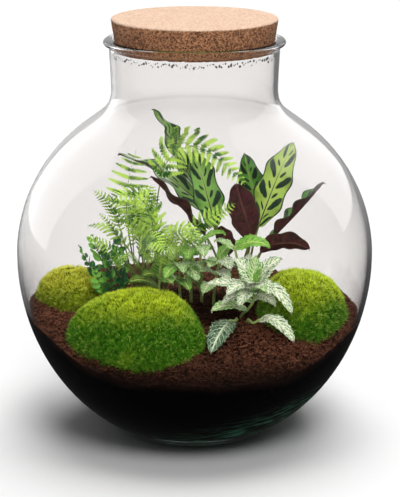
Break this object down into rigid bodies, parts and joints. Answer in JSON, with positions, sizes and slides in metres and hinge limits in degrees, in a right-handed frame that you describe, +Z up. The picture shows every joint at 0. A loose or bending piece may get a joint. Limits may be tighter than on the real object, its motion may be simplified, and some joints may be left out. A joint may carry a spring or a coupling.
{
  "type": "glass plant terrarium",
  "caption": "Round blown-glass jar with a cork stopper, filled with potting soil, moss cushions, a fern and small leafy plants.",
  "frame": {"origin": "middle of the jar's foot, on the surface it stands on", "axes": "+Z up along the jar's axis; -Y is the front, where the soil is banked lowest; +X to the right seen from the front"},
  "size_m": [0.2988, 0.2988, 0.3534],
  "materials": {
    "clear_glass": "clear blown glass, smooth, faint green at the thick foot",
    "ground_cork": "pressed ground cork, fine pale grain on top, darker mottled side",
    "soil": "damp crumbly potting soil of peat and bark fibre",
    "moss": "dense short moss, yellow green tips over dark green",
    "prayer_leaf": "satin leaf, light green with dark oval blotches above, maroon below",
    "fern_leaf": "thin matt light green leaflets on brown stalks",
    "nerve_leaf": "matt green leaf with a dense net of white veins",
    "creeper_leaf": "small satin dark green leaves"
  },
  "bodies": {
    "root": {"glass_jar": "clear_glass", "cork_stopper": "ground_cork", "potting_soil": "soil", "moss_cushion_front": "moss", "moss_cushion_left": "moss", "moss_cushion_right": "moss", "prayer_plant_leaf_01": "prayer_leaf", "prayer_plant_leaf_02": "prayer_leaf", "prayer_plant_leaf_03": "prayer_leaf", "prayer_plant_leaf_04": "prayer_leaf", "prayer_plant_leaf_05": "prayer_leaf", "prayer_plant_leaf_06": "prayer_leaf", "prayer_plant_leaf_07": "prayer_leaf", "prayer_plant_leaf_08": "prayer_leaf", "prayer_plant_leaf_09": "prayer_leaf", "prayer_plant_leaf_10": "prayer_leaf", "fern_frond_01": "fern_leaf", "fern_frond_02": "fern_leaf", "fern_frond_03": "fern_leaf", "fern_frond_04": "fern_leaf", "fern_frond_05": "fern_leaf", "fern_frond_06": "fern_leaf", "fern_frond_07": "fern_leaf", "fern_frond_08": "fern_leaf", "fern_frond_09": "fern_leaf", "fern_frond_10": "fern_leaf", "nerve_plant_stem_01": "nerve_leaf", "nerve_plant_stem_02": "nerve_leaf", "nerve_plant_stem_03": "nerve_leaf", "nerve_plant_stem_04": "nerve_leaf", "nerve_plant_stem_05": "nerve_leaf", "nerve_plant_stem_06": "nerve_leaf", "nerve_plant_stem_07": "nerve_leaf", "nerve_plant_stem_08": "nerve_leaf", "nerve_plant_stem_09": "nerve_leaf", "creeper_sprig_01": "creeper_leaf", "creeper_sprig_02": "creeper_leaf", "creeper_sprig_03": "creeper_leaf", "creeper_sprig_04": "creeper_leaf", "creeper_sprig_05": "creeper_leaf", "creeper_sprig_06": "creeper_leaf"}
  },
  "joints": []
}
